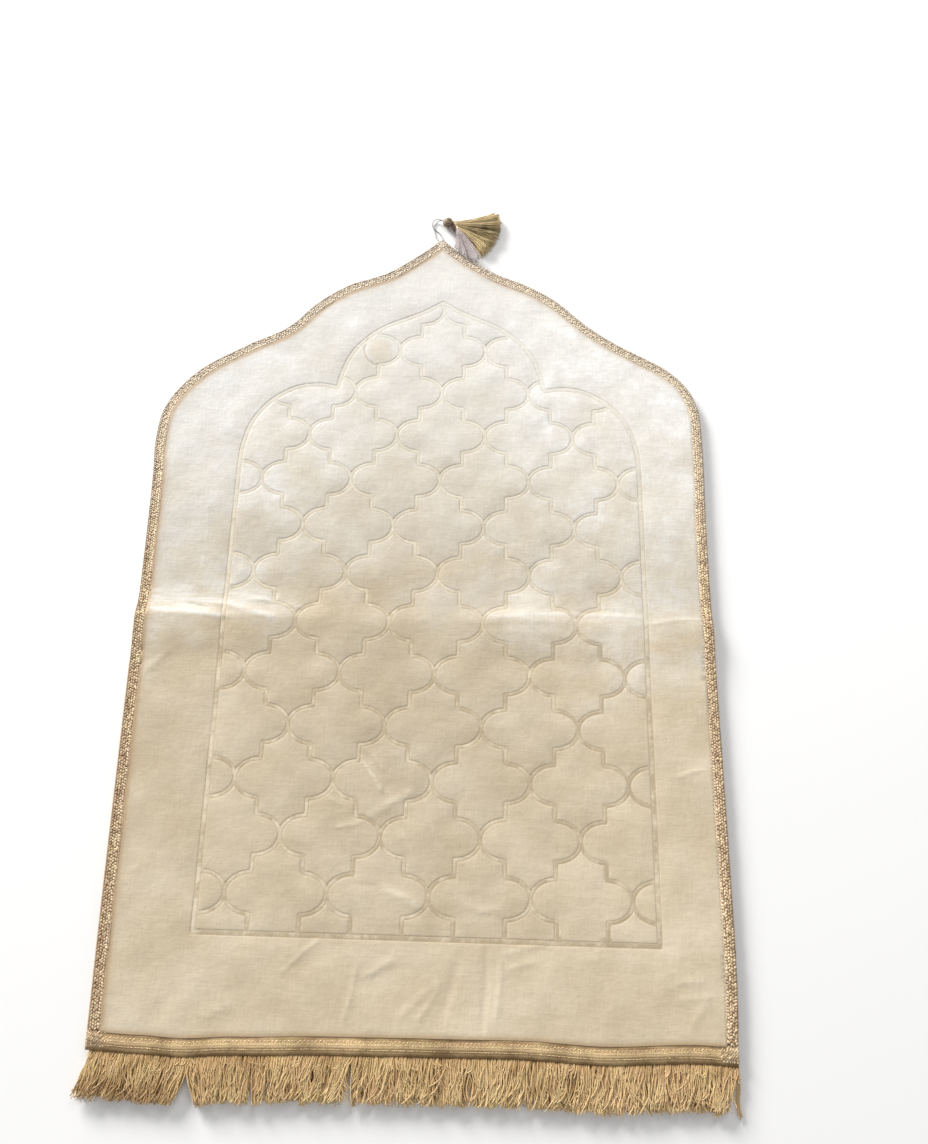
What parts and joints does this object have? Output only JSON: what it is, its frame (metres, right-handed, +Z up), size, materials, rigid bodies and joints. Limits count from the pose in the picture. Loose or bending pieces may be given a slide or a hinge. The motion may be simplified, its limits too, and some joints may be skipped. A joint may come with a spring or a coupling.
{
  "type": "prayer rug",
  "caption": "Padded velvet prayer rug lying flat, with an arched top, a pressed trellis inside a lobed frame, gold braid, a ribbed tape with fringe, and a tassel.",
  "frame": {"origin": "on the flat underside, near the middle of the rug, just to the arch's side of the cross fold", "axes": "+Z up through the rug, +Y along its length from the fringe to the point of the arch, +X to the right as seen from the fringe"},
  "size_m": [0.7038, 1.1323, 0.0204],
  "materials": {
    "velvet": "short ivory velvet pile, pressed into a padded backing",
    "braid": "looped gold thread braid",
    "tape": "ribbed satin tape in old gold",
    "fringe": "glossy gold yarn",
    "tassel": "dark gold silky yarn",
    "thread": "pale twisted thread"
  },
  "bodies": {
    "root": {"rug_pad": "velvet", "edge_braid": "braid", "bottom_tape": "tape", "fringe": "fringe", "tassel": "tassel", "tassel_thread": "thread"}
  },
  "joints": []
}
